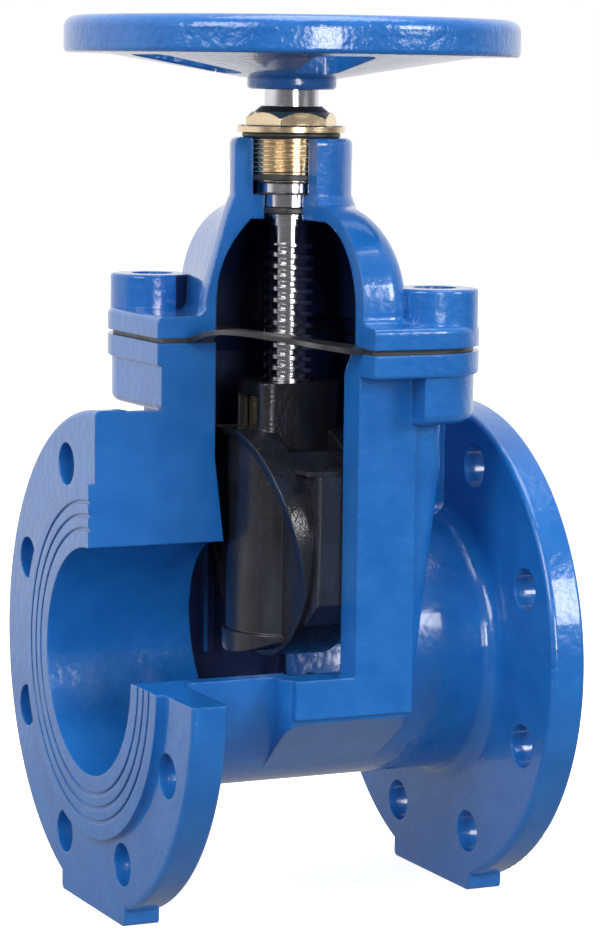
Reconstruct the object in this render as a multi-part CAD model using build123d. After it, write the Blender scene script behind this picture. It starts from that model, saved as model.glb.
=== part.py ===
from build123d import *
import math
import os

# Sectioned display model of a DN100 PN16 resilient-seated gate valve.
# Geometry is drawn about the crossing of the flow axis (X) and the stem axis (Z), then lifted so
# that the flange feet stand on Z = 0. The quarter X < 0, Y < 0 above the flow axis is sawn away
# from the body, the bonnet and the joint, and the inner parts are whole.

# ---- driving dimensions, mm ----
face_to_face = 190.0
bore_r = 50.0
flange_r = 110.0
flange_t = 19.0
raised_face_r = 78.0
raised_face_t = 3.0
bolt_circle = 180.0
bolt_count = 8
bolt_hole_r = 9.5
groove_radii = (58.0, 64.0, 70.0)
groove_w = 1.6
groove_depth = 0.8
flange_edge_round = 2.5
foot_half_width = 37.5
foot_height = 22.0
pipe_wall = 8.0
pipe_root_round = 7.0
rib_t = 12.0
rib_top = 109.0

cut_level = -1.0

seat_half = 24.5
seat_taper = 7.0
taper_top = 87.0
cavity_corner = 20.0
cavity_flare = 8.0
cavity_flare_h = 9.0
side_wall = 8.0
end_wall = 13.0
pad_half_x = 28.0
pad_proud = 2.0
notch_half_x = 25.0
shoulder_drop = 20.0
cavity_drop = 22.0
sump_clear = 1.0
guide_rail_w = 3.5
guide_gap = 1.2

joint_z = 138.5
gasket_t = 2.2
joint_land_x = 27.8
joint_land_y = 29.5
top_corner = 34.0
lip_t = 10.0
lip_overhang = 2.0
boss_depth = 30.5
boss_r = 19.0
boss_bolt_r = 6.0
bolt_clear = 0.5
gasket_inset = 2.5

bonnet_flange_t = 9.5
boss_height = 27.0
dome_wall = 5.2
dome_lobe_half = 24.5
dome_lobe_corner = 12.0
dome_lobe_reach = 18.0
dome_end_round = 50.0
dome_spring = 18.0
dome_pinch = 10.0
spring_lead = 2.0
crown_turns = (0, 20, 38, 52, 66, 80)
dome_foot_round = 4.0
neck_wall = 8.9
neck_depth = 24.9
neck_round = 3.0
pocket_web = 10.8
room_height = 54.1
room_spring = 16.0
room_lobe_half = 20.0
room_lobe_corner = 8.0
wedge_pocket_h = 6.5

thread_step = 1.0
thread_depth = 2.6
thread_pitch = 5.0
thread_gap = 10.6
stem_bottom = 50.0
stem_r = 12.0
relief_step = 0.4
journal_step = 2.2
collar_step = 2.8
collar_t = 4.0
washer_step = 1.0
washer_t = 0.8
running_gap = 0.05
square_step = 4.0

gland_wall = 5.9
gland_pitch = 2.0
gland_collar_step = 5.9
gland_collar_t = 3.1
gland_hex_t = 5.7
gland_hex_turn = 51.5
gland_ring_step = 3.8
gland_ring_t = 2.3
wiper_h = 2.6
wiper_w = 4.5
oring_d = 2.6

wheel_r = 100.3
wheel_rim_w = 15.0
wheel_rim_h = 16.0
wheel_rim_step = 15.0
wheel_web_t = 6.0
hub_r = 19.7
hub_gap = 21.0
hub_height = 19.7
window_count = 5
window_turn = 262.8
window_in = 31.0
window_out = 78.0
window_half_in = 9.5
window_half_out = 14.0
wheel_bolt_r = 5.0

gate_lap = 2.0
gate_side_room = 5.0
gate_seat_gap = 0.4
gate_web_half = 13.0
gate_saddle_half_y = 30.0
gate_saddle_drop = 11.0
bead_w = 4.5
bead_low_half = 10.0
bead_low_z = -28.0
gate_tube_r = 27.0
gate_tube_clear = 0.7
gate_foot_step = 1.5
gate_foot_h = 10.3
gate_bore_clear = 1.5
housing_wall_x = 5.0
housing_wall_y = 4.0
housing_round = 6.0
housing_top = 71.0
rubber_t = 3.0
shoe_half_x = 10.5
shoe_depth = 10.0
shoe_clear = 1.3
shoe_low = -34.0
shoe_high = 34.0
shoe_fit = 0.02
nut_wall = 1.0
nut_lug = 2.5
nut_h = 18.0
nut_top_gap = 5.0
thread_clear = 0.45
root_lap = 0.8

# ---- derived places ----
foot_level = flange_r
half_length = face_to_face / 2
bolt_face = half_length - raised_face_t
flange_back = half_length - flange_t
pipe_r = bore_r + pipe_wall
taper = math.tan(math.radians(seat_taper))
cavity_half_x = seat_half + taper * taper_top
gate_r = bore_r + gate_lap
sump_r = gate_r + sump_clear
cavity_half_y = gate_r + gate_side_room
chamber_half_y = cavity_half_y + end_wall
top_half_x = cavity_half_x + joint_land_x
top_half_y = cavity_half_y + joint_land_y
block_half_x = top_half_x - lip_overhang
block_half_y = top_half_y - lip_overhang
block_corner = top_corner - lip_overhang
boss_x = top_half_x - top_corner + (top_corner - boss_r) * math.cos(math.radians(45))
boss_y = top_half_y - top_corner + (top_corner - boss_r) * math.sin(math.radians(45))
bonnet_z = joint_z + gasket_t
boss_top = joint_z + boss_height
ceiling_z = joint_z + room_height
pocket_floor = ceiling_z + pocket_web
neck_top = pocket_floor + neck_depth
thread_top = ceiling_z - thread_gap
hub_bottom = neck_top + hub_gap
hub_top = hub_bottom + hub_height
wheel_rim_bottom = hub_bottom + wheel_rim_step
bonnet_flange_top = bonnet_z + bonnet_flange_t
dome_r = cavity_half_x + dome_wall
dome_half_y = cavity_half_y + dome_lobe_reach
dome_spring_z = joint_z + dome_spring
room_spring_z = joint_z + room_spring
room_half_y = dome_half_y - dome_wall - dome_wall / 2
thread_major_r = stem_r - thread_step
thread_minor_r = thread_major_r - thread_depth
relief_r = thread_minor_r + relief_step
journal_low_r = stem_r - journal_step
collar_r = stem_r + collar_step
washer_r = collar_r + washer_step
gland_thread_r = stem_r + gland_wall
gland_collar_r = gland_thread_r + gland_collar_step
gland_hex_af = 2 * gland_thread_r + 0.2
gland_ring_r = gland_thread_r + gland_ring_step
wiper_r = stem_r + wiper_w
stem_square = 2 * (stem_r - square_step)
nut_half_y = thread_major_r + nut_wall
nut_half_x = nut_half_y + nut_lug
housing_half_x = nut_half_x + housing_wall_x
housing_half_y = nut_half_y + housing_wall_y
gland_bore_r = gland_thread_r + 0.2
neck_r = gland_bore_r + neck_wall
gate_bore_r = thread_major_r + gate_bore_clear
square_bottom = hub_bottom
stem_hole_r = stem_r + 0.6
neck_seat = pocket_floor + collar_t + 2 * washer_t + 4 * running_gap
collar_bottom = pocket_floor + washer_t + 2 * running_gap
collar_top = collar_bottom + collar_t
gland_seat = neck_top + gland_ring_t
hex_bottom = gland_seat + gland_collar_t
hex_top = hex_bottom + gland_hex_t
far = 400.0
LOW = (Align.CENTER, Align.CENTER, Align.MIN)


def cylinder_z(r, z0, z1, x=0.0, y=0.0):
    return Pos(x, y, z0) * Cylinder(r, z1 - z0, align=LOW)


def cylinder_x(r, x0, x1, y=0.0, z=0.0):
    return Pos(x0, y, z) * Rot(0, 90, 0) * Cylinder(r, x1 - x0, align=LOW)


def tube_z(outer, inner, z0, z1):
    return cylinder_z(outer, z0, z1) - cylinder_z(inner, z0 - 1, z1 + 1)


def box(x0, x1, y0, y1, z0, z1):
    middle = Pos((x0 + x1) / 2, (y0 + y1) / 2, (z0 + z1) / 2)
    return middle * Box(x1 - x0, y1 - y0, z1 - z0)


def plate(half_x, half_y, corner, z0, z1):
    """A rounded rectangle standing between two levels."""
    outline = RectangleRounded(2 * half_x, 2 * half_y, corner)
    return Pos(0, 0, z0) * extrude(outline, z1 - z0)


def section_xz(points, half_y):
    """An outline in X and Z carried along Y to both sides."""
    face = Plane.XZ * Polygon(*points, align=None)
    return extrude(face, half_y, both=True)


def section_yz(points, x0, x1):
    """An outline in Y and Z carried along X."""
    face = Plane.YZ * Polygon(*points, align=None)
    return Pos(x0, 0, 0) * extrude(face, x1 - x0, dir=(1, 0, 0))


def turned(points):
    """An outline of radius and height turned about the stem axis."""
    return revolve(Plane.XZ * Polygon(*points, align=None), Axis.Z)


def removed_quarter(margin=0.0):
    return box(-far, -margin, -far, -margin, cut_level, far)


def seat_x(z):
    return seat_half + taper * z


def bolt_places(remaining_only=True):
    places = [(sx * boss_x, sy * boss_y) for sx in (-1, 1) for sy in (-1, 1)]
    return [p for p in places if not (remaining_only and p[0] < 0 and p[1] < 0)]


# ---- body ----
def end_flange():
    disc = cylinder_x(flange_r, flange_back, bolt_face)
    disc = fillet(disc.edges().filter_by(GeomType.CIRCLE), flange_edge_round)
    foot = box(flange_back, bolt_face, -foot_half_width, foot_half_width, -foot_level, foot_height - foot_level)
    foot = fillet(foot.edges().filter_by(Axis.X).group_by(Axis.Z)[0], flange_edge_round)
    pipe = cylinder_x(pipe_r, 0, flange_back)
    body = pipe + disc
    root = [e for e in body.edges().filter_by(GeomType.CIRCLE)
            if abs(e.radius - pipe_r) < 0.01 and abs(e.center().X - flange_back) < 0.01]
    body = fillet(root, pipe_root_round) + foot
    body += cylinder_x(raised_face_r, bolt_face - 1, half_length)
    for r in groove_radii:
        ring = cylinder_x(r + groove_w / 2, half_length - groove_depth, half_length + 1)
        body -= ring - cylinder_x(r - groove_w / 2, half_length - 2, half_length + 2)
    for k in range(bolt_count):
        turn = math.radians(360 / bolt_count * (k + 0.5))
        y = bolt_circle / 2 * math.cos(turn)
        z = bolt_circle / 2 * math.sin(turn)
        body -= cylinder_x(bolt_hole_r, flange_back - 1, half_length + 1, y, z)
    return body


def chamber():
    """The wedge-shaped gate chamber: tapered in X, shouldered down to the pipe's underside in Y."""
    reach = math.hypot(chamber_half_y, shoulder_drop)
    tangent = math.atan2(-shoulder_drop, -chamber_half_y) + math.acos(pipe_r / reach)
    low_y = pipe_r * math.cos(tangent)
    low_z = pipe_r * math.sin(tangent)
    side = [(-chamber_half_y, joint_z), (-chamber_half_y, -shoulder_drop), (low_y, low_z)]
    side += [(-y, z) for y, z in reversed(side)]
    wall_x = side_wall + seat_half
    slope = [(wall_x + taper * z, z) for z in (-pipe_r - 1, taper_top)]
    slope.append((wall_x + taper * taper_top, joint_z))
    slope += [(-x, z) for x, z in reversed(slope)]
    shell = section_xz(slope, chamber_half_y) & section_yz(side, -far, far)
    corners = [e for e in shell.edges() if abs(abs(e.center().Y) - chamber_half_y) < 0.5
               and abs(e.center().X) > wall_x - 5 and e.length > 50]
    shell = fillet(corners, side_wall)
    pad = box(-pad_half_x, pad_half_x, -chamber_half_y - pad_proud, chamber_half_y + pad_proud,
              -shoulder_drop + pad_proud, joint_z - lip_t / 2)
    pad = fillet(pad.edges().filter_by(Axis.Z), pad_proud / 2)
    return shell + pad + cylinder_x(pipe_r, -wall_x, wall_x)


def joint_block():
    """The oval top flange with its four bolt columns below the lip."""
    lip = plate(top_half_x, top_half_y, top_corner, joint_z - lip_t, joint_z)
    lip = fillet(lip.edges().group_by(Axis.Z)[0], 1.5)
    block = plate(block_half_x, block_half_y, block_corner, joint_z - boss_depth, joint_z - lip_t / 2)
    block = fillet(block.edges().group_by(Axis.Z)[0], 4)
    for side in (-1, 1):
        near = chamber_half_y * side
        notch = box(-notch_half_x, notch_half_x, min(near, near * 2), max(near, near * 2), 0, joint_z - lip_t)
        block -= notch
    return lip + block


def side_outline(half_y, r, top):
    """Upright sides that run in below a set level and meet a circle about the flow axis."""
    reach = math.hypot(half_y, cavity_drop)
    tangent = math.atan2(-cavity_drop, -half_y) + math.acos(r / reach)
    side = [(-half_y, top), (-half_y, -cavity_drop), (r * math.cos(tangent), r * math.sin(tangent))]
    return side + [(-y, z) for y, z in reversed(side)]


def cavity():
    """Room for the gate: tapered seats, flat ends and a rounded sump."""
    half_x = cavity_half_x
    slope = [(seat_x(z), z) for z in (-sump_r - 1, taper_top)] + [(half_x, joint_z + 1)]
    slope += [(-x, z) for x, z in reversed(slope)]
    side = side_outline(cavity_half_y, sump_r, joint_z + 1)
    room = section_yz(side, -far, far) + cylinder_x(sump_r, -far, far)
    room &= plate(half_x, cavity_half_y, cavity_corner, -sump_r - 1, joint_z + 1)
    room &= section_xz(slope, far)
    flare = Pos(0, 0, joint_z - cavity_flare_h) * loft(
        [RectangleRounded(2 * half_x, 2 * cavity_half_y, cavity_corner),
         Pos(0, 0, cavity_flare_h + 1) * RectangleRounded(2 * half_x, 2 * (cavity_half_y + cavity_flare),
                                                          cavity_corner)])
    return room + flare


def guide_rails():
    rails = []
    for sx in (-1, 1):
        for sy in (-1, 1):
            near = sx * (shoe_half_x + guide_gap)
            inner = sy * (gate_r + guide_gap)
            x0, x1 = sorted((near, near + sx * guide_rail_w))
            y0, y1 = sorted((inner, sy * (cavity_half_y + 1)))
            rails.append(box(x0, x1, y0, y1, -shoulder_drop / 2, joint_z - cavity_flare_h - 4))
    return rails


def make_body():
    flange = end_flange()
    rib = box(side_wall + seat_half, flange_back + 1, -rib_t / 2, rib_t / 2, 0, rib_top)
    half = flange + rib
    body = chamber() + joint_block() + half + mirror(half, Plane.YZ)
    body -= cavity()
    body -= cylinder_x(bore_r, -far, far)
    for rail in guide_rails():
        body += rail
    for x, y in bolt_places():
        body -= cylinder_z(boss_bolt_r, joint_z - boss_depth + 6, joint_z + 1, x, y)
    return body - removed_quarter()


# ---- bonnet ----
def waisted_plan(centre_r, lobe_half, reach, corner):
    """A round middle joined by straight flanks to a narrower, round-cornered end on each side."""
    cx, cy = lobe_half - corner, reach - corner
    turn = math.atan2(cy, cx) - math.acos((centre_r - corner) / math.hypot(cx, cy))
    half = (turn + math.pi / 2) / 2
    flank = (centre_r * math.cos(turn), centre_r * math.sin(turn))
    shoulder = (cx + corner * math.cos(turn), cy + corner * math.sin(turn))
    knee = (cx + corner * math.cos(half), cy + corner * math.sin(half))
    edges = []
    for sx in (-1, 1):
        edges.append(ThreePointArc((sx * flank[0], -flank[1]), (sx * centre_r, 0), (sx * flank[0], flank[1])))
        for sy in (-1, 1):
            places = [(sx * u, sy * v) for u, v in (flank, shoulder, knee, (cx, reach))]
            edges += [Line(*places[:2]), ThreePointArc(*places[1:])]
    edges += [Line((-cx, v), (cx, v)) for v in (-reach, reach)]
    return make_face(edges)


def dome(plan, bottom, spring, crest, top_r, middle_power, end_round, pinch):
    """Upright walls on the waisted plan, then sections that draw in towards the crest."""
    centre_r, lobe_half, reach, corner = plan
    sections = [Pos(0, 0, spring - spring_lead) * waisted_plan(*plan)]
    last = math.radians(crown_turns[-1])
    for turn in map(math.radians, crown_turns):
        rise = math.sin(turn) / math.sin(last)
        draw = 1 - math.cos(turn)
        middle = centre_r - (centre_r - top_r) * rise ** middle_power
        outline = waisted_plan(middle, lobe_half - pinch * draw, reach - end_round * draw, corner)
        sections.append(Pos(0, 0, spring + (crest - spring) * rise) * outline)
    foot = Pos(0, 0, bottom) * extrude(waisted_plan(*plan), spring - spring_lead - bottom)
    return foot + loft(sections)


def flared_neck(low, middle, high):
    """A turned shoulder that widens down into the cap."""
    side = ThreePointArc(low, middle, high)
    rest = Polyline(high, (0, high[1]), (0, low[1]), low)
    return revolve(Plane.XZ * make_face([side, rest]), Axis.Z)


def bonnet_outside():
    crest = ceiling_z + dome_wall + neck_round / 2
    flange = plate(top_half_x, top_half_y, top_corner, bonnet_z, bonnet_flange_top)
    flange = fillet(flange.edges().group_by(Axis.Z)[-1], neck_round)
    plan = (dome_r, dome_lobe_half, dome_half_y, dome_lobe_corner)
    shell = flange + dome(plan, bonnet_z, dome_spring_z, crest, neck_r + 1.5, 1.2, dome_end_round, dome_pinch)
    feet = [e for e in shell.edges() if abs(e.center().Z - bonnet_flange_top) < 0.01
            and abs(e.center().X) < dome_r + 1 and abs(e.center().Y) < dome_half_y + 1]
    shell = fillet(feet, dome_foot_round)
    shell += flared_neck((dome_r - 6, dome_spring_z + 23), (neck_r + 4, dome_spring_z + 36), (neck_r, pocket_floor))
    neck = cylinder_z(neck_r, dome_spring_z, neck_top)
    return shell + fillet(neck.edges().group_by(Axis.Z)[-1], neck_round)


def bonnet_room():
    plan = (cavity_half_x, room_lobe_half, room_half_y, room_lobe_corner)
    room = dome(plan, bonnet_z - 1, room_spring_z, ceiling_z, stem_r + 7, 2.4, ceiling_z - room_spring_z,
                dome_pinch)
    return room + plate(cavity_half_x, cavity_half_y + cavity_flare, cavity_corner, bonnet_z - 1,
                        bonnet_z + wedge_pocket_h)


def make_bonnet():
    shell = bonnet_outside()
    for x, y in bolt_places():
        boss = cylinder_z(boss_r, bonnet_z, boss_top, x, y)
        shell += fillet(boss.edges().group_by(Axis.Z)[-1], 1.5)
    shell -= bonnet_room()
    shell -= cylinder_z(stem_hole_r, ceiling_z - 10, pocket_floor + 1)
    shell -= cylinder_z(gland_bore_r, pocket_floor, neck_top + 1)
    for x, y in bolt_places():
        shell -= cylinder_z(boss_bolt_r + bolt_clear, bonnet_z - 1, boss_top, x, y)
        shell -= cylinder_z(boss_bolt_r * 1.5 + bolt_clear, bonnet_flange_top - 2, boss_top + 1, x, y)
    return shell - removed_quarter()


# ---- joint ----
def make_gasket():
    """Full-face rubber joint, bare across the removed quarter, where only its bead bridges."""
    outer = plate(top_half_x - gasket_inset, top_half_y - gasket_inset, top_corner - gasket_inset,
                  joint_z, bonnet_z)
    hole = plate(cavity_half_x + 1, cavity_half_y + cavity_flare + 1, cavity_corner + 1, joint_z - 1, bonnet_z + 1)
    sheet = outer - hole
    for x, y in bolt_places():
        sheet -= cylinder_z(boss_bolt_r + bolt_clear, joint_z - 1, bonnet_z + 1, x, y)
    return sheet - removed_quarter() + gasket_bridge()


def gasket_bridge():
    """The bead bows upward between the two sawn faces."""
    start = Vector(-(cavity_half_x + 10), 0.5)
    finish = Vector(0.5, -(cavity_half_y + cavity_flare + 6))
    chord = finish - start
    rise = 7.0
    length = chord.length
    bow_r = (length ** 2 / 4 + rise ** 2) / (2 * rise)
    low = joint_z + gasket_t / 2
    ring = Pos(length / 2, low + rise - bow_r, 0) * (Circle(bow_r + gasket_t / 2) - Circle(bow_r - gasket_t / 2))
    upright = Plane(origin=(start.X, start.Y, 0), x_dir=(chord.X, chord.Y, 0),
                    z_dir=Vector(chord.X, chord.Y, 0).cross(Vector(0, 0, 1)))
    sheet = extrude(upright * ring, 60, both=True)
    outline = plate(cavity_half_x + 14, cavity_half_y + cavity_flare + 10, top_corner, joint_z, joint_z + 15)
    hole = plate(cavity_half_x + 6, cavity_half_y + cavity_flare + 2, top_corner - 8, joint_z - 1, joint_z + 16)
    strip = (outline - hole) & box(-far, 0, -far, 0, joint_z, far)
    return sheet & strip


def make_bonnet_bolts():
    solids = []
    for x, y in bolt_places():
        shank = cylinder_z(boss_bolt_r - 0.02, joint_z - boss_depth + 8, bonnet_flange_top - 2, x, y)
        head = cylinder_z(boss_bolt_r * 1.5, bonnet_flange_top - 2, bonnet_flange_top + 9, x, y)
        socket = Pos(x, y, bonnet_flange_top + 3) * extrude(RegularPolygon(boss_bolt_r * 0.95, 6), 10)
        solids.append(shank + head - socket)
    return Compound(solids)


def make_bolt_plugs():
    """Sealing plugs that close the sunk bolt heads off from the weather."""
    solids = []
    for x, y in bolt_places():
        plug = cylinder_z(boss_bolt_r * 1.5 + bolt_clear - 0.05, bonnet_flange_top + 9, boss_top - 1.0, x, y)
        solids.append(fillet(plug.edges().group_by(Axis.Z)[-1], 0.8))
    return Compound(solids)


# ---- stem and gland ----
def helix_thread(minor, major, pitch, z0, z1, flank, crest, lefthand):
    """A threaded rod between two levels, its ridge swept along a helix."""
    path = Helix(pitch, z1 - z0 + 2 * pitch, minor, center=(0, 0, z0 - pitch), lefthand=lefthand)
    start = Plane(origin=path @ 0, x_dir=(1, 0, 0), z_dir=(0, -1, 0))
    depth = major - minor
    ridge = Polygon((-root_lap, -flank), (depth, -crest), (depth, crest), (-root_lap, flank), align=None)
    worm = sweep(start * ridge, path=path, is_frenet=True)
    rod = cylinder_z(minor, z0 - 2 * pitch, z1 + 2 * pitch) + worm
    return rod & cylinder_z(major + 1, z0, z1)


def make_stem():
    shaft = cylinder_z(relief_r, thread_top, ceiling_z - 2.5)
    shaft += cylinder_z(journal_low_r, ceiling_z - 3, ceiling_z + 2)
    shaft += cylinder_z(stem_r - oring_d + 0.6, ceiling_z + 1, ceiling_z + 6)
    shaft += cylinder_z(stem_r, ceiling_z + 2 + oring_d + 0.8, square_bottom)
    shaft += cylinder_z(collar_r, collar_bottom, collar_top)
    square = box(-stem_square / 2, stem_square / 2, -stem_square / 2, stem_square / 2,
                 square_bottom - 1, hub_top - 1)
    shaft += square & cylinder_z(stem_r - 1.2, square_bottom - 1, hub_top)
    shaft -= cylinder_z(wheel_bolt_r, hub_top - 16, hub_top + 1)
    return shaft + helix_thread(thread_minor_r, thread_major_r, thread_pitch, stem_bottom, thread_top,
                                1.9, 0.9, True)


def make_gland_bush():
    bush = helix_thread(gland_thread_r - 1.1, gland_thread_r, gland_pitch, neck_seat + oring_d + 0.6,
                        neck_top + 0.5, 0.95, 0.2, False)
    bush += cylinder_z(gland_thread_r - 1.6, neck_seat, neck_seat + oring_d + 1)
    bush += cylinder_z(gland_thread_r - 1.1, neck_top, gland_seat + 1)
    collar = cylinder_z(gland_collar_r, gland_seat, hex_bottom)
    bush += chamfer(collar.edges().group_by(Axis.Z)[-1], 0.6)
    hexagon = Pos(0, 0, hex_bottom) * Rot(0, 0, gland_hex_turn) * extrude(
        RegularPolygon(gland_hex_af / 2, 6, major_radius=False), gland_hex_t)
    top_cone = Pos(0, 0, hex_bottom) * Cone(gland_hex_af / 2 + 5.5, gland_hex_af / 2 - 0.2, gland_hex_t, align=LOW)
    bush += hexagon & top_cone
    bush -= cylinder_z(stem_r + 0.2, 0, far)
    bush -= cylinder_z(wiper_r - 1.5, hex_top - 1.5, far)
    for k in range(3):
        z = neck_seat + 6 + 8.5 * k
        bush -= tube_z(stem_r + oring_d - 0.4, stem_r, z, z + oring_d + 0.4)
    return bush


def rounded_ring(outer, inner, z0, z1):
    """A ring of soft section, its four corners rounded."""
    ring = tube_z(outer, inner, z0, z1)
    return fillet(ring.edges().filter_by(GeomType.CIRCLE), min(outer - inner, z1 - z0) * 0.3)


def make_gland_orings():
    rings = []
    for k in range(3):
        z = neck_seat + 6 + 8.5 * k
        rings.append(rounded_ring(stem_r + oring_d - 0.5, stem_r + 0.1, z + 0.2, z + oring_d + 0.2))
    return Compound(rings)


def make_gland_foot_oring():
    z = neck_seat + 0.4
    return rounded_ring(gland_bore_r - 0.05, gland_thread_r - 1.55, z, z + oring_d)


def make_gland_gasket():
    ring = tube_z(gland_ring_r, gland_thread_r + 0.4, neck_top, gland_seat)
    return fillet(ring.edges().filter_by(GeomType.CIRCLE).sort_by(lambda e: e.radius)[-2:], 0.9)


def make_wiper():
    lip = turned([(stem_r + 0.1, hex_top - 1.5), (wiper_r - 1.6, hex_top - 1.5), (wiper_r - 1.6, hex_top),
                  (wiper_r, hex_top), (stem_r + 1.4, hex_top + wiper_h), (stem_r + 0.1, hex_top + wiper_h)])
    return lip


def make_stem_oring():
    z = ceiling_z + 2.1
    return rounded_ring(stem_r + 0.5, stem_r - oring_d + 0.65, z, z + oring_d + 0.5)


def make_thrust_washer(z):
    return tube_z(washer_r, stem_r + 0.3, z, z + washer_t)


# ---- handwheel ----
def make_handwheel():
    rim_in = wheel_r - wheel_rim_w
    rim = tube_z(wheel_r, rim_in, wheel_rim_bottom, wheel_rim_bottom + wheel_rim_h)
    edges = rim.edges().filter_by(GeomType.CIRCLE)
    rim = fillet([e for e in edges if e.center().Z > wheel_rim_bottom + 1], 5.5)
    rim = fillet(rim.edges().filter_by(GeomType.CIRCLE).group_by(Axis.Z)[0], 2)
    rise = wheel_rim_bottom + 1 - (hub_bottom + 4.4)
    low = hub_bottom + 4.4
    inner = hub_r - 2
    web = turned([(inner, low), (rim_in + 4, low + rise), (rim_in + 4, low + rise + wheel_web_t),
                  (inner, low + wheel_web_t + 3)])
    for k in range(window_count):
        cut = Polygon((window_in, -window_half_in), (window_out, -window_half_out),
                      (window_out, window_half_out), (window_in, window_half_in), align=None)
        cut = fillet(cut.vertices(), 6)
        turn = window_turn + 360 / window_count * k
        web -= Rot(0, 0, turn) * Pos(0, 0, hub_bottom) * extrude(cut, 40)
    hub = cylinder_z(hub_r, hub_bottom, hub_top)
    hub = fillet(hub.edges().filter_by(GeomType.CIRCLE), 2)
    wheel = rim + web + hub
    half = stem_square / 2 + 0.05
    return wheel - box(-half, half, -half, half, hub_bottom - 1, hub_top + 1)


def make_wheel_washer():
    return tube_z(hub_r - 5, wheel_bolt_r + 0.5, hub_top, hub_top + 2)


def make_wheel_bolt():
    top = hub_top + 2
    head = Pos(0, 0, top) * extrude(RegularPolygon(8.5, 6, major_radius=False), 6.5)
    head &= Pos(0, 0, top) * Cone(11.5, 8.2, 6.5, align=LOW)
    return head + cylinder_z(wheel_bolt_r - 0.02, hub_top - 15, top + 1)


# ---- gate, drawn closed and lifted to half open ----
def bead():
    """The sealing bead: a narrow arch that stands out furthest at the top and dies away below."""
    arch = cylinder_x(gate_r, -far, far) - cylinder_x(gate_r - bead_w, -far, far)
    top_half = seat_x(gate_r) - gate_seat_gap
    ends = [(bead_low_half, -gate_r), (bead_low_half, bead_low_z), (top_half, gate_r)]
    return arch & section_xz(ends + [(-x, z) for x, z in reversed(ends)], gate_r)


def gate_disc(skin):
    """The web and the tube around the stem, drawn in by a skin thickness."""
    r = gate_r - skin
    disc = cylinder_x(r, -gate_web_half + skin, gate_web_half - skin)
    tube = cylinder_z(gate_tube_r - skin, -gate_r, gate_r)
    if skin == 0:
        tube += cylinder_z(gate_tube_r + gate_foot_step, -gate_r, -gate_r + gate_foot_h + gate_lap)
        disc += bead()
    return disc + (tube & cylinder_x(bore_r - gate_tube_clear - skin, -far, far))


def gate_blank(skin):
    """Outer form of the gate with a saddle cut across its top where the nut housing stands."""
    half_x = gate_web_half + skin
    half_y = gate_saddle_half_y + skin
    saddle = box(-half_x, half_x, -half_y, half_y, 0, far)
    saddle -= cylinder_x(gate_r - gate_saddle_drop - skin, -far, far)
    housing = box(-housing_half_x + skin, housing_half_x - skin, -housing_half_y + skin, housing_half_y - skin,
                  0, housing_top - skin)
    housing = fillet(housing.edges().filter_by(Axis.Z), housing_round - skin)
    return gate_disc(skin) - saddle + housing


def nut_room(gap):
    z1 = housing_top - nut_top_gap
    return box(-nut_half_x - gap, nut_half_x + gap, -nut_half_y - gap, nut_half_y + gap,
               z1 - nut_h - gap, z1 + gap)


def nut_window():
    z1 = housing_top - nut_top_gap
    return box(-far, 0, -nut_half_y + 1.5, nut_half_y - 1.5, z1 - nut_h + 2, z1 - 1)


def make_wedge_core():
    core = gate_blank(rubber_t)
    core -= cylinder_z(gate_bore_r + 1, -far, far)
    return core - nut_room(0.3) - nut_window()


def make_wedge_rubber():
    skin = gate_blank(0)
    skin -= gate_blank(rubber_t)
    skin -= cylinder_z(gate_bore_r, -far, far)
    for side in (-1, 1):
        skin -= shoe_blank(side, shoe_fit)
    return skin - nut_room(0.3) - nut_window()


def shoe_blank(side, grow):
    """A bar down the gate's edge with a wider cap, its foot following the cavity's shoulder."""
    inner = gate_r - shoe_depth
    out = cavity_half_y - shoe_clear + grow
    outline = side_outline(out, sump_r - shoe_clear + grow, shoe_high + grow)
    y0, y1 = sorted((side * (inner - grow), side * out))
    bar = section_yz(outline, -shoe_half_x - grow, shoe_half_x + grow)
    bar &= box(-far, far, y0, y1, shoe_low - grow, shoe_high + grow)
    y0, y1 = sorted((side * (inner - 3 - grow), side * (gate_r + grow)))
    half = shoe_half_x + 4 + grow
    cap = box(-half, half, y0, y1, shoe_high - grow, shoe_high + 2 + grow)
    return bar + cap - cylinder_x(gate_r - rubber_t + shoe_fit - grow, -far, far)


def make_shoe(side):
    blank = shoe_blank(side, 0.0)
    out = cavity_half_y - shoe_clear
    edge = [e for e in blank.edges() if abs(abs(e.center().Y) - out) < 0.1 and e.length > 40]
    return fillet(edge, 1.0) - cylinder_x(gate_r - rubber_t, -far, far)


def make_stem_nut():
    block = nut_room(0)
    block = fillet(block.edges().filter_by(Axis.Z), 1.5)
    return block - cylinder_z(thread_major_r + thread_clear, -far, far)


parts = {
    "body": make_body(),
    "bonnet": make_bonnet(),
    "bonnet_gasket": make_gasket(),
    "bonnet_bolts": make_bonnet_bolts(),
    "bolt_plugs": make_bolt_plugs(),
    "gland_bush": make_gland_bush(),
    "gland_gasket": make_gland_gasket(),
    "gland_orings": make_gland_orings(),
    "gland_foot_oring": make_gland_foot_oring(),
    "wiper_ring": make_wiper(),
    "lower_thrust_washer": make_thrust_washer(pocket_floor + running_gap),
    "upper_thrust_washer": make_thrust_washer(collar_top + running_gap),
    "stem": make_stem(),
    "stem_oring": make_stem_oring(),
    "handwheel": make_handwheel(),
    "wheel_washer": make_wheel_washer(),
    "wheel_bolt": make_wheel_bolt(),
    "wedge_core": Pos(0, 0, bore_r) * make_wedge_core(),
    "wedge_rubber": Pos(0, 0, bore_r) * make_wedge_rubber(),
    "front_guide_shoe": Pos(0, 0, bore_r) * make_shoe(-1),
    "rear_guide_shoe": Pos(0, 0, bore_r) * make_shoe(1),
    "stem_nut": Pos(0, 0, bore_r) * make_stem_nut(),
}

os.makedirs("parts", exist_ok=True)
for name, part in parts.items():
    export_step(Pos(0, 0, foot_level) * part, f"parts/{name}.step")
    print(name, round(part.volume), len(part.solids()))
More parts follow.
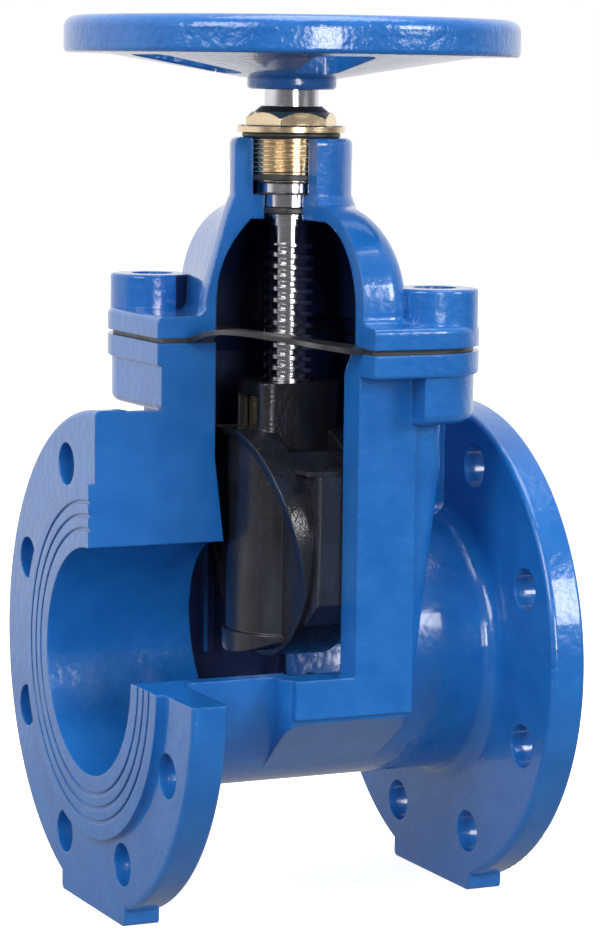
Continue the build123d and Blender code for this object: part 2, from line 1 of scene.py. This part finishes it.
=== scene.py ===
# Sectioned gate valve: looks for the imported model
import math

import bpy
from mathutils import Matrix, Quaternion, Vector

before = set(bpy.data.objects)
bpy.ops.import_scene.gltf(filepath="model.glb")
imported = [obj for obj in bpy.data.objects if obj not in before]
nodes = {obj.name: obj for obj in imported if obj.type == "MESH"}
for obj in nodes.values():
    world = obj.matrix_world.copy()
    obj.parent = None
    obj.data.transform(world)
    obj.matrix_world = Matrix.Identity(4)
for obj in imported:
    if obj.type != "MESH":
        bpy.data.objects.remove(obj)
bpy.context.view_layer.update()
print("frame loaded:", len(nodes), "nodes")


# ---- node tree helpers ----

def addNode(tree, kind, x, y, **values):
    made = tree.nodes.new(kind)
    made.location = (x, y)
    for key, value in values.items():
        if key.startswith("in_"):
            made.inputs[key[3:].replace("_", " ")].default_value = value
        else:
            setattr(made, key, value)
    return made


def join(tree, source, target):
    tree.links.new(source, target)


def mathNode(tree, operation, x, y, first, second=None, third=None):
    made = addNode(tree, "ShaderNodeMath", x, y, operation=operation)
    for place, value in enumerate((first, second, third)):
        if value is None:
            continue
        if isinstance(value, (int, float)):
            made.inputs[place].default_value = value
        else:
            join(tree, value, made.inputs[place])
    return made.outputs[0]


def newGroup(name, inputs, outputs):
    group = bpy.data.node_groups.new(name, "ShaderNodeTree")
    for label, kind, value in inputs:
        socket = group.interface.new_socket(label, in_out="INPUT", socket_type=kind)
        socket.default_value = value
    for label, kind in outputs:
        group.interface.new_socket(label, in_out="OUTPUT", socket_type=kind)
    start = addNode(group, "NodeGroupInput", -900, 0)
    end = addNode(group, "NodeGroupOutput", 900, 0)
    return group, start, end


floatIn = "NodeSocketFloat"
colorIn = "NodeSocketColor"


# Marks the walls of the gate chamber and of the room above it, which face the stem axis; these walls get a
# painted shade, a dark navy colour standing in for the shade inside the valve
chamberSet = {
    "middle": 0.25, "lift": 0.110, "seatHalf": 0.0249, "taper": 0.1228, "mostX": 0.0356, "lowY": 0.0575,
    "highY": 0.0677, "flareFrom": 0.2395, "top": 0.3032, "facing": -0.002}


def buildChamberShadeGroup():
    group, start, end = newGroup("chamberPaintedShade", [], [("Inside", floatIn)])
    coords = addNode(group, "ShaderNodeTexCoord", -900, 0)
    place = addNode(group, "ShaderNodeSeparateXYZ", -700, 0)
    join(group, coords.outputs["Object"], place.inputs[0])
    arm = addNode(group, "ShaderNodeVectorMath", -700, 300, operation="SUBTRACT")
    arm.inputs[1].default_value = (0, 0, chamberSet["middle"])
    join(group, coords.outputs["Object"], arm.inputs[0])
    dot = addNode(group, "ShaderNodeVectorMath", -500, 300, operation="DOT_PRODUCT")
    join(group, arm.outputs[0], dot.inputs[0])
    join(group, coords.outputs["Normal"], dot.inputs[1])
    facing = mathNode(group, "LESS_THAN", -300, 300, dot.outputs["Value"], chamberSet["facing"])
    awayX = mathNode(group, "ABSOLUTE", -500, 0, place.outputs[0])
    awayY = mathNode(group, "ABSOLUTE", -500, -150, place.outputs[1])
    height = mathNode(group, "SUBTRACT", -500, -300, place.outputs[2], chamberSet["lift"])
    seat = mathNode(group, "MULTIPLY_ADD", -300, -300, height, chamberSet["taper"], chamberSet["seatHalf"])
    limitX = mathNode(group, "MINIMUM", -100, -300, seat, chamberSet["mostX"])
    flared = mathNode(group, "GREATER_THAN", -300, -450, place.outputs[2], chamberSet["flareFrom"])
    flareY = chamberSet["highY"] - chamberSet["lowY"]
    limitY = mathNode(group, "MULTIPLY_ADD", -100, -450, flared, flareY, chamberSet["lowY"])
    within = mathNode(group, "MULTIPLY", 300, 0, mathNode(group, "LESS_THAN", 100, 0, awayX, limitX),
                      mathNode(group, "LESS_THAN", 100, -150, awayY, limitY))
    below = mathNode(group, "LESS_THAN", 100, -300, place.outputs[2], chamberSet["top"])
    inside = mathNode(group, "MULTIPLY", 500, 0, within, mathNode(group, "MULTIPLY", 300, 200, facing, below))
    join(group, inside, end.inputs["Inside"])
    return group


# Sprayed epoxy on a sand casting: a slow swell under a fine orange peel, flattened where sawn. Inside the
# chamber the colour is a painted shade, dark navy, with rougher paint and no coat
sawnReach = 0.0004


def buildEpoxyGroup():
    group, start, end = newGroup("sprayedEpoxy", [
        ("Color", colorIn, (0.02, 0.15, 0.46, 1)), ("Thin Color", colorIn, (0.03, 0.2, 0.55, 1)),
        ("Peel Size", floatIn, 240.0), ("Peel Depth", floatIn, 0.2), ("Swell Size", floatIn, 40.0),
        ("Swell Depth", floatIn, 0.6), ("Sawn Share", floatIn, 0.25),
        ("Painted Shade Color", colorIn, (0.003, 0.014, 0.07, 1)), ("Coat", floatIn, 0.6)],
        [("Color", colorIn), ("Roughness", floatIn), ("Height", floatIn), ("Coat Weight", floatIn)])
    coords = addNode(group, "ShaderNodeTexCoord", -900, -300)
    split = addNode(group, "ShaderNodeSeparateXYZ", -700, -500)
    join(group, coords.outputs["Object"], split.inputs[0])
    awayX = mathNode(group, "ABSOLUTE", -500, -450, split.outputs[0])
    awayY = mathNode(group, "ABSOLUTE", -500, -600, split.outputs[1])
    nearX = mathNode(group, "LESS_THAN", -300, -450, awayX, sawnReach)
    nearY = mathNode(group, "LESS_THAN", -300, -600, awayY, sawnReach)
    frontSide = mathNode(group, "LESS_THAN", -300, -750, split.outputs[1], sawnReach)
    leftSide = mathNode(group, "LESS_THAN", -300, -900, split.outputs[0], sawnReach)
    sawnX = mathNode(group, "MULTIPLY", -100, -500, nearX, frontSide)
    sawnY = mathNode(group, "MULTIPLY", -100, -700, nearY, leftSide)
    sawn = mathNode(group, "MAXIMUM", 100, -600, sawnX, sawnY)
    peel = addNode(group, "ShaderNodeTexNoise", -500, 200, in_Detail=2.0, in_Roughness=0.45)
    swell = addNode(group, "ShaderNodeTexNoise", -500, -50, in_Detail=1.5, in_Roughness=0.4)
    tone = addNode(group, "ShaderNodeTexNoise", -500, 450, in_Scale=55.0, in_Detail=3.0)
    for texture in (peel, swell, tone):
        join(group, coords.outputs["Object"], texture.inputs["Vector"])
    join(group, start.outputs["Peel Size"], peel.inputs["Scale"])
    join(group, start.outputs["Swell Size"], swell.inputs["Scale"])
    lost = mathNode(group, "SUBTRACT", 50, -850, 1.0, start.outputs["Sawn Share"])
    calm = mathNode(group, "SUBTRACT", 250, -600, 1.0, mathNode(group, "MULTIPLY", 200, -750, sawn, lost))
    fine = mathNode(group, "MULTIPLY", -200, 200, peel.outputs[0], start.outputs["Peel Depth"])
    slow = mathNode(group, "MULTIPLY", -200, -50, swell.outputs[0], start.outputs["Swell Depth"])
    height = mathNode(group, "MULTIPLY", 300, 50, mathNode(group, "ADD", 0, 50, fine, slow), calm)
    blend = addNode(group, "ShaderNodeMix", 100, 450, data_type="RGBA")
    spread = addNode(group, "ShaderNodeMapRange", -200, 450)
    spread.inputs["From Min"].default_value = 0.35
    spread.inputs["From Max"].default_value = 0.7
    join(group, tone.outputs[0], spread.inputs["Value"])
    join(group, spread.outputs[0], blend.inputs["Factor"])
    join(group, start.outputs["Color"], blend.inputs["A"])
    join(group, start.outputs["Thin Color"], blend.inputs["B"])
    gloss = addNode(group, "ShaderNodeMapRange", 100, 250)
    gloss.inputs["To Min"].default_value = 0.16
    gloss.inputs["To Max"].default_value = 0.3
    join(group, tone.outputs[0], gloss.inputs["Value"])
    chamber = addNode(group, "ShaderNodeGroup", 100, 700, node_tree=chamberShadeGroup)
    # Painted shade: walls marked by the chamber mask take a dark navy colour in place of the blue paint,
    # standing in for the shade inside the valve
    shade = addNode(group, "ShaderNodeMix", 350, 450, data_type="RGBA")
    join(group, chamber.outputs[0], shade.inputs["Factor"])
    join(group, blend.outputs["Result"], shade.inputs["A"])
    join(group, start.outputs["Painted Shade Color"], shade.inputs["B"])
    outside = mathNode(group, "SUBTRACT", 350, 700, 1.0, chamber.outputs[0])
    coat = mathNode(group, "MULTIPLY", 550, 700, outside, start.outputs["Coat"])
    dull = mathNode(group, "MULTIPLY_ADD", 550, 250, chamber.outputs[0], 0.25, gloss.outputs[0])
    join(group, shade.outputs["Result"], end.inputs["Color"])
    join(group, dull, end.inputs["Roughness"])
    join(group, height, end.inputs["Height"])
    join(group, coat, end.inputs["Coat Weight"])
    return group


# Fine rings left by a lathe tool on a piece turned about the upright axis
def buildTurnedGroup():
    group, start, end = newGroup("turnedMarks", [
        ("Color", colorIn, (0.6, 0.6, 0.6, 1)), ("Dull Color", colorIn, (0.4, 0.4, 0.42, 1)),
        ("Ring Size", floatIn, 2200.0), ("Rough Low", floatIn, 0.12), ("Rough High", floatIn, 0.3)],
        [("Color", colorIn), ("Roughness", floatIn), ("Height", floatIn)])
    coords = addNode(group, "ShaderNodeTexCoord", -900, -300)
    split = addNode(group, "ShaderNodeSeparateXYZ", -700, -300)
    join(group, coords.outputs["Object"], split.inputs[0])
    squareX = mathNode(group, "MULTIPLY", -500, -300, split.outputs[0], split.outputs[0])
    squareSum = mathNode(group, "MULTIPLY_ADD", -350, -300, split.outputs[1], split.outputs[1], squareX)
    radius = mathNode(group, "SQRT", -200, -300, squareSum)
    rings = addNode(group, "ShaderNodeCombineXYZ", -50, -300)
    join(group, radius, rings.inputs[0])
    join(group, split.outputs[2], rings.inputs[2])
    marks = addNode(group, "ShaderNodeTexNoise", 150, -200, in_Detail=3.0, in_Roughness=0.6)
    join(group, rings.outputs[0], marks.inputs["Vector"])
    join(group, start.outputs["Ring Size"], marks.inputs["Scale"])
    smear = addNode(group, "ShaderNodeTexNoise", 150, 150, in_Scale=90.0, in_Detail=4.0)
    join(group, coords.outputs["Object"], smear.inputs["Vector"])
    both = mathNode(group, "MULTIPLY", 350, 0, marks.outputs[0], smear.outputs[0])
    spread = addNode(group, "ShaderNodeMapRange", 500, 0)
    spread.inputs["From Min"].default_value = 0.15
    spread.inputs["From Max"].default_value = 0.4
    join(group, both, spread.inputs["Value"])
    join(group, start.outputs["Rough Low"], spread.inputs["To Min"])
    join(group, start.outputs["Rough High"], spread.inputs["To Max"])
    blend = addNode(group, "ShaderNodeMix", 500, 300, data_type="RGBA")
    join(group, smear.outputs[0], blend.inputs["Factor"])
    join(group, start.outputs["Color"], blend.inputs["A"])
    join(group, start.outputs["Dull Color"], blend.inputs["B"])
    join(group, blend.outputs["Result"], end.inputs["Color"])
    join(group, spread.outputs[0], end.inputs["Roughness"])
    join(group, marks.outputs[0], end.inputs["Height"])
    return group


# Moulded rubber or plastic: mould bloom, faint scuffs and a fine grain
def buildMouldedGroup():
    group, start, end = newGroup("mouldedSkin", [
        ("Color", colorIn, (0.02, 0.02, 0.022, 1)), ("Bloom Color", colorIn, (0.05, 0.05, 0.055, 1)),
        ("Grain Size", floatIn, 900.0), ("Scuff Size", floatIn, 60.0), ("Rough Low", floatIn, 0.32),
        ("Rough High", floatIn, 0.5)],
        [("Color", colorIn), ("Roughness", floatIn), ("Height", floatIn)])
    coords = addNode(group, "ShaderNodeTexCoord", -900, -300)
    grain = addNode(group, "ShaderNodeTexNoise", -500, 0, in_Detail=2.0)
    bloom = addNode(group, "ShaderNodeTexNoise", -500, 300, in_Scale=38.0, in_Detail=5.0, in_Roughness=0.6)
    stretch = addNode(group, "ShaderNodeMapping", -700, -300)
    stretch.inputs["Scale"].default_value = (1.0, 1.0, 0.12)
    scuff = addNode(group, "ShaderNodeTexNoise", -500, -300, in_Detail=4.0, in_Roughness=0.7)
    join(group, coords.outputs["Object"], grain.inputs["Vector"])
    join(group, coords.outputs["Object"], bloom.inputs["Vector"])
    join(group, coords.outputs["Object"], stretch.inputs["Vector"])
    join(group, stretch.outputs[0], scuff.inputs["Vector"])
    join(group, start.outputs["Grain Size"], grain.inputs["Scale"])
    join(group, start.outputs["Scuff Size"], scuff.inputs["Scale"])
    spread = addNode(group, "ShaderNodeMapRange", -250, 300)
    spread.inputs["From Min"].default_value = 0.45
    spread.inputs["From Max"].default_value = 0.75
    join(group, bloom.outputs[0], spread.inputs["Value"])
    blend = addNode(group, "ShaderNodeMix", 0, 300, data_type="RGBA")
    join(group, spread.outputs[0], blend.inputs["Factor"])
    join(group, start.outputs["Color"], blend.inputs["A"])
    join(group, start.outputs["Bloom Color"], blend.inputs["B"])
    rough = addNode(group, "ShaderNodeMapRange", 0, -200)
    rough.inputs["From Min"].default_value = 0.35
    rough.inputs["From Max"].default_value = 0.65
    join(group, scuff.outputs[0], rough.inputs["Value"])
    join(group, start.outputs["Rough Low"], rough.inputs["To Min"])
    join(group, start.outputs["Rough High"], rough.inputs["To Max"])
    height = mathNode(group, "MULTIPLY_ADD", 0, 0, scuff.outputs[0], 0.6, grain.outputs[0])
    join(group, blend.outputs["Result"], end.inputs["Color"])
    join(group, rough.outputs[0], end.inputs["Roughness"])
    join(group, height, end.inputs["Height"])
    return group


chamberShadeGroup = buildChamberShadeGroup()
epoxyGroup = buildEpoxyGroup()
turnedGroup = buildTurnedGroup()
mouldedGroup = buildMouldedGroup()


def newMaterial(name, group, groupValues, shaderValues, bumpStrength, bumpDistance, edgeRadius):
    material = bpy.data.materials.new(name)
    material.use_nodes = True
    tree = material.node_tree
    tree.nodes.clear()
    finish = addNode(tree, "ShaderNodeOutputMaterial", 600, 0)
    shader = addNode(tree, "ShaderNodeBsdfPrincipled", 250, 0)
    for key, value in shaderValues.items():
        shader.inputs[key].default_value = value
    skin = addNode(tree, "ShaderNodeGroup", -300, 0, node_tree=group)
    for key, value in groupValues.items():
        skin.inputs[key].default_value = value
    edge = addNode(tree, "ShaderNodeBevel", -300, -350, samples=6)
    edge.inputs["Radius"].default_value = edgeRadius
    bump = addNode(tree, "ShaderNodeBump", 0, -250)
    bump.inputs["Strength"].default_value = bumpStrength
    bump.inputs["Distance"].default_value = bumpDistance
    join(tree, skin.outputs["Height"], bump.inputs["Height"])
    join(tree, edge.outputs[0], bump.inputs["Normal"])
    join(tree, skin.outputs["Color"], shader.inputs["Base Color"])
    join(tree, skin.outputs["Roughness"], shader.inputs["Roughness"])
    if "Coat Weight" in skin.outputs:
        join(tree, skin.outputs["Coat Weight"], shader.inputs["Coat Weight"])
    join(tree, bump.outputs[0], shader.inputs["Normal"])
    join(tree, shader.outputs[0], finish.inputs["Surface"])
    return material


valvePaint = {
    "Color": (0.01, 0.135, 0.47, 1), "Thin Color": (0.016, 0.165, 0.53, 1), "Peel Size": 230.0,
    "Peel Depth": 0.6, "Swell Size": 45.0, "Swell Depth": 0.8, "Sawn Share": 0.3}
wheelPaint = dict(valvePaint, **{"Peel Size": 300.0, "Peel Depth": 0.9, "Swell Size": 90.0, "Swell Depth": 0.8})
epoxyShader = {"Coat Roughness": 0.06, "Specular IOR Level": 0.5, "IOR": 1.5}
steelShader = {"Metallic": 1.0}
rubberShader = {"Specular IOR Level": 0.8}

materials = {
    "valvePaint": newMaterial("valvePaint", epoxyGroup, valvePaint, epoxyShader, 0.55, 0.0012, 0.0012),
    "wheelPaint": newMaterial("wheelPaint", epoxyGroup, wheelPaint, epoxyShader, 0.6, 0.001, 0.0015),
    "stemSteel": newMaterial("stemSteel", turnedGroup, {
        "Color": (0.82, 0.8, 0.84, 1), "Dull Color": (0.62, 0.6, 0.66, 1), "Ring Size": 2600.0,
        "Rough Low": 0.08, "Rough High": 0.24}, steelShader, 0.08, 0.0002, 0.0003),
    "glandBrass": newMaterial("glandBrass", turnedGroup, {
        "Color": (0.95, 0.78, 0.54, 1), "Dull Color": (0.8, 0.6, 0.36, 1), "Ring Size": 1800.0,
        "Rough Low": 0.12, "Rough High": 0.32}, steelShader, 0.12, 0.0003, 0.0003),
    "fastenerSteel": newMaterial("fastenerSteel", turnedGroup, {
        "Color": (0.6, 0.6, 0.6, 1), "Dull Color": (0.42, 0.42, 0.43, 1), "Ring Size": 1500.0,
        "Rough Low": 0.2, "Rough High": 0.4}, steelShader, 0.1, 0.0003, 0.0003),
    "jointRubber": newMaterial("jointRubber", mouldedGroup, {
        "Color": (0.012, 0.012, 0.014, 1), "Bloom Color": (0.03, 0.03, 0.034, 1), "Grain Size": 1300.0,
        "Scuff Size": 90.0}, rubberShader, 0.2, 0.0003, 0.0004),
    "wedgeRubber": newMaterial("wedgeRubber", mouldedGroup, {
        "Color": (0.009, 0.011, 0.018, 1), "Bloom Color": (0.02, 0.024, 0.036, 1), "Grain Size": 700.0,
        "Scuff Size": 70.0, "Rough Low": 0.14, "Rough High": 0.34}, rubberShader, 0.3, 0.0005, 0.0012),
    "shoePlastic": newMaterial("shoePlastic", mouldedGroup, {
        "Color": (0.016, 0.019, 0.03, 1), "Bloom Color": (0.03, 0.034, 0.048, 1), "Grain Size": 600.0,
        "Scuff Size": 120.0, "Rough Low": 0.22, "Rough High": 0.4}, rubberShader, 0.25, 0.0004, 0.0006),
    "wedgeIron": newMaterial("wedgeIron", mouldedGroup, {
        "Color": (0.05, 0.05, 0.052, 1), "Bloom Color": (0.11, 0.1, 0.1, 1), "Grain Size": 450.0,
        "Scuff Size": 150.0, "Rough Low": 0.45, "Rough High": 0.7}, {"Metallic": 0.6}, 0.5, 0.0006, 0.0006),
}

finishes = {
    "body": "valvePaint", "bonnet": "valvePaint", "bolt_plugs": "valvePaint", "handwheel": "wheelPaint",
    "stem": "stemSteel", "gland_bush": "glandBrass", "stem_nut": "glandBrass",
    "wheel_washer": "fastenerSteel", "wheel_bolt": "fastenerSteel", "bonnet_bolts": "fastenerSteel",
    "bonnet_gasket": "jointRubber", "gland_gasket": "jointRubber", "gland_orings": "jointRubber",
    "gland_foot_oring": "jointRubber", "wiper_ring": "jointRubber", "stem_oring": "jointRubber",
    "lower_thrust_washer": "shoePlastic", "upper_thrust_washer": "shoePlastic",
    "wedge_rubber": "wedgeRubber", "wedge_core": "wedgeIron",
    "front_guide_shoe": "shoePlastic", "rear_guide_shoe": "shoePlastic",
}
for nodeName, finishName in finishes.items():
    mesh = nodes[nodeName].data
    mesh.materials.clear()
    mesh.materials.append(materials[finishName])
print("finishes:", len(materials))


# ---- floor, light and camera ----

floorSet = {"size": 24.0, "color": (0.9, 0.9, 0.9, 1), "glow": 0.72, "frontGlow": 0.12, "backGlow": 0.95}


def makeFloor():
    bpy.ops.object.select_all(action="DESELECT")
    bpy.ops.mesh.primitive_plane_add(size=floorSet["size"], location=(0, 0, 0))
    floor = bpy.context.object
    floor.name = "floor"
    material = bpy.data.materials.new("floorPaper")
    material.use_nodes = True
    tree = material.node_tree
    tree.nodes.clear()
    end = addNode(tree, "ShaderNodeOutputMaterial", 600, 0)
    paper = addNode(tree, "ShaderNodeBsdfDiffuse", -100, 300)
    paper.inputs["Color"].default_value = floorSet["color"]
    glow = addNode(tree, "ShaderNodeEmission", -100, 150)
    glow.inputs["Strength"].default_value = floorSet["glow"]
    seen = addNode(tree, "ShaderNodeAddShader", 100, 200)
    join(tree, paper.outputs[0], seen.inputs[0])
    join(tree, glow.outputs[0], seen.inputs[1])
    coords = addNode(tree, "ShaderNodeTexCoord", -700, -100)
    split = addNode(tree, "ShaderNodeSeparateXYZ", -500, -100)
    join(tree, coords.outputs["Object"], split.inputs[0])
    ramp = addNode(tree, "ShaderNodeMapRange", -300, -100, interpolation_type="SMOOTHSTEP")
    ramp.inputs["From Min"].default_value = -0.6
    ramp.inputs["From Max"].default_value = 1.2
    ramp.inputs["To Min"].default_value = floorSet["frontGlow"]
    ramp.inputs["To Max"].default_value = floorSet["backGlow"]
    join(tree, split.outputs[1], ramp.inputs["Value"])
    around = addNode(tree, "ShaderNodeEmission", -100, -100)
    join(tree, ramp.outputs[0], around.inputs["Strength"])
    path = addNode(tree, "ShaderNodeLightPath", 100, 450)
    mix = addNode(tree, "ShaderNodeMixShader", 350, 0)
    join(tree, path.outputs["Is Camera Ray"], mix.inputs[0])
    join(tree, around.outputs[0], mix.inputs[1])
    join(tree, seen.outputs[0], mix.inputs[2])
    join(tree, mix.outputs[0], end.inputs["Surface"])
    floor.data.materials.append(material)


def makeWorld():
    world = bpy.data.worlds.new("studio")
    bpy.context.scene.world = world
    world.use_nodes = True
    tree = world.node_tree
    tree.nodes.clear()
    end = addNode(tree, "ShaderNodeOutputWorld", 600, 0)
    coords = addNode(tree, "ShaderNodeTexCoord", -800, 0)
    split = addNode(tree, "ShaderNodeSeparateXYZ", -600, 0)
    join(tree, coords.outputs["Generated"], split.inputs[0])
    behind = addNode(tree, "ShaderNodeMapRange", -400, 0, interpolation_type="SMOOTHSTEP")
    behind.inputs["From Min"].default_value = -0.5
    behind.inputs["From Max"].default_value = 0.6
    behind.inputs["To Min"].default_value = 0.22
    behind.inputs["To Max"].default_value = 1.0
    join(tree, split.outputs[1], behind.inputs["Value"])
    around = addNode(tree, "ShaderNodeBackground", 0, -100)
    around.inputs["Color"].default_value = (0.97, 0.98, 1.0, 1)
    join(tree, behind.outputs[0], around.inputs["Strength"])
    seen = addNode(tree, "ShaderNodeBackground", 0, 100)
    seen.inputs["Color"].default_value = (1, 1, 1, 1)
    seen.inputs["Strength"].default_value = 1.0
    path = addNode(tree, "ShaderNodeLightPath", 0, 400)
    mix = addNode(tree, "ShaderNodeMixShader", 300, 0)
    join(tree, path.outputs["Is Camera Ray"], mix.inputs[0])
    join(tree, around.outputs[0], mix.inputs[1])
    join(tree, seen.outputs[0], mix.inputs[2])
    join(tree, mix.outputs[0], end.inputs["Surface"])


lights = [
    # name, place, aim, size, watts
    ("softboxLeft", (-1.9, -1.1, 1.2), (0, 0, 0.2), 1.1, 26.0),
    ("softboxRight", (1.5, -1.9, 1.0), (0, 0, 0.2), 0.8, 26.0),
    ("softboxTop", (0.1, -0.2, 2.2), (0, 0, 0.2), 1.6, 30.0),
    ("stripFront", (-0.35, -2.4, 0.5), (0, 0, 0.2), 0.6, 18.0),
]


def makeLights():
    for name, place, aim, size, watts in lights:
        data = bpy.data.lights.new(name, "AREA")
        data.size = size
        data.energy = watts
        lamp = bpy.data.objects.new(name, data)
        bpy.context.scene.collection.objects.link(lamp)
        lamp.location = place
        lamp.rotation_mode = "QUATERNION"
        lamp.rotation_quaternion = (Vector(aim) - Vector(place)).to_track_quat("-Z", "Y")


cameraSet = {"place": (-0.6037, -1.2961, 0.3630), "aim": (0.00637, 0.0, 0.19012), "roll": 0.732, "lens": 123.46}


def makeCamera():
    data = bpy.data.cameras.new("camera")
    data.lens = cameraSet["lens"]
    data.sensor_width = 36.0
    camera = bpy.data.objects.new("camera", data)
    bpy.context.scene.collection.objects.link(camera)
    camera.location = cameraSet["place"]
    look = (Vector(cameraSet["aim"]) - Vector(cameraSet["place"])).to_track_quat("-Z", "Y")
    camera.rotation_mode = "QUATERNION"
    camera.rotation_quaternion = look @ Quaternion((0, 0, 1), math.radians(cameraSet["roll"]))
    bpy.context.scene.camera = camera


makeFloor()
makeWorld()
makeLights()
makeCamera()
bpy.context.scene.view_settings.view_transform = "Standard"
print("stage ready")
